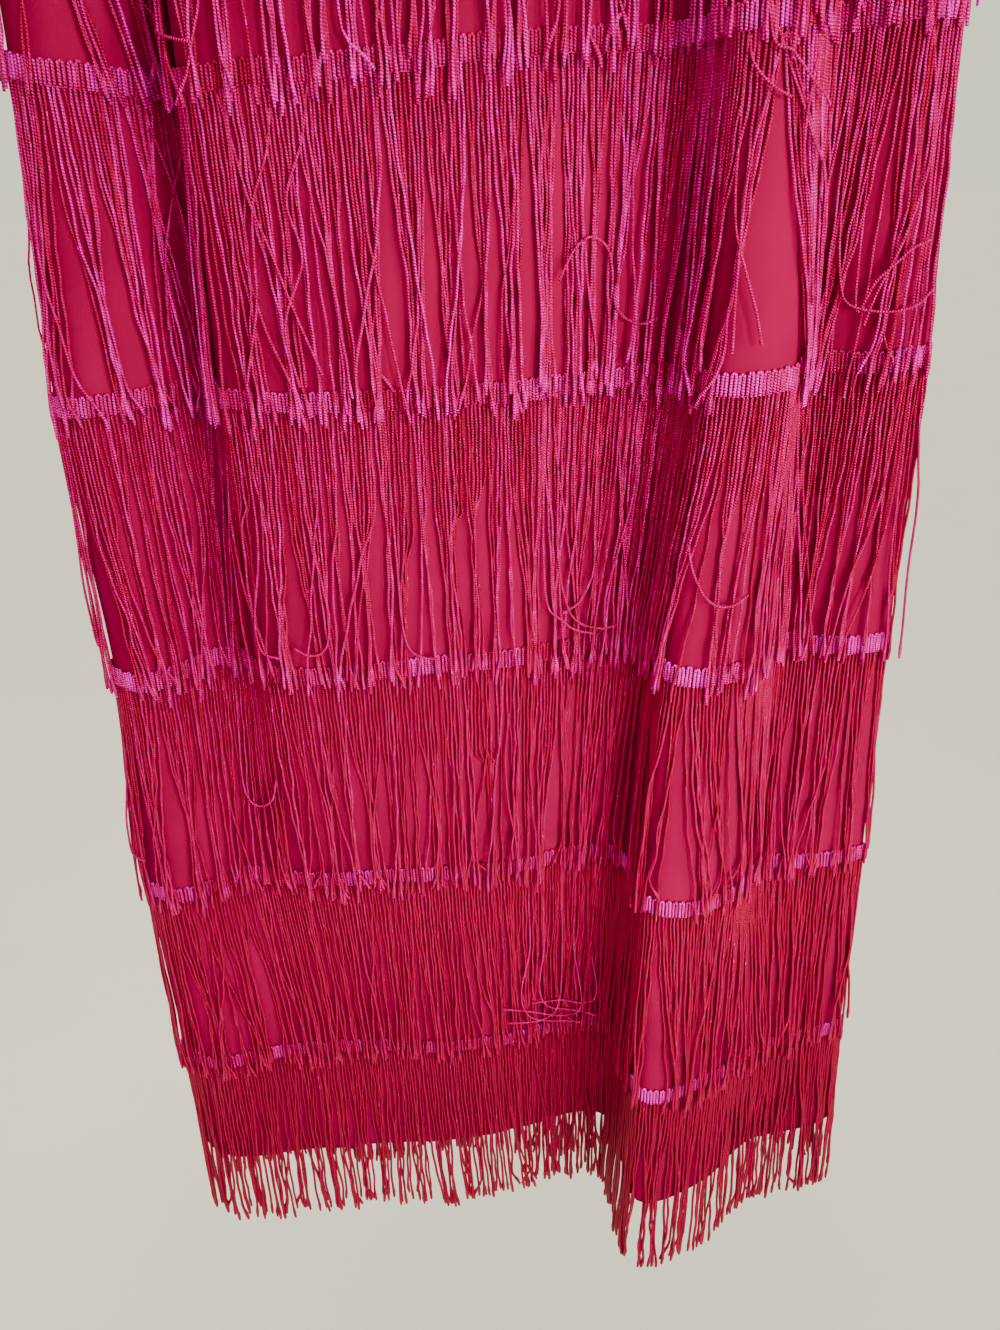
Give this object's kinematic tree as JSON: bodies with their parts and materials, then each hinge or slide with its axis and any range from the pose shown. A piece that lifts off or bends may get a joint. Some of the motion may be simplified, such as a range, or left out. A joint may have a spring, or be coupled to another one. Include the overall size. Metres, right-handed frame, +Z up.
{
  "type": "flapper dress on hanger",
  "caption": "Sleeveless straight shift dress covered in tiers of long chainette fringe, hanging flat from a plain bar hanger with a wire hook.",
  "frame": {"origin": "inside top of the hanger's hook, where the peg or rail that holds it bears", "axes": "+Z up, +Y towards the wall behind the dress, +X to the viewer's right of the dress front"},
  "size_m": [0.4597, 0.117, 1.1966],
  "materials": {
    "cloth": "matt dyed stretch jersey, pinkish crimson",
    "fringe": "shiny rayon chainette cord, crimson with a magenta sheen",
    "hanger_wood": "clear-lacquered beech",
    "hook_wire": "bright zinc-plated wire"
  },
  "bodies": {
    "root": {"front_skirt": "cloth", "front_body": "cloth", "front_yoke": "cloth", "back_skirt": "cloth", "back_body": "cloth", "back_yoke": "cloth", "front_fringe_1": "fringe", "front_fringe_2": "fringe", "front_fringe_3": "fringe", "front_fringe_4": "fringe", "front_fringe_5": "fringe", "front_fringe_6": "fringe", "back_fringe_1": "fringe", "back_fringe_2": "fringe", "back_fringe_3": "fringe", "back_fringe_4": "fringe", "back_fringe_5": "fringe", "back_fringe_6": "fringe", "hanger_bar": "hanger_wood", "hanger_hook": "hook_wire"}
  },
  "joints": []
}
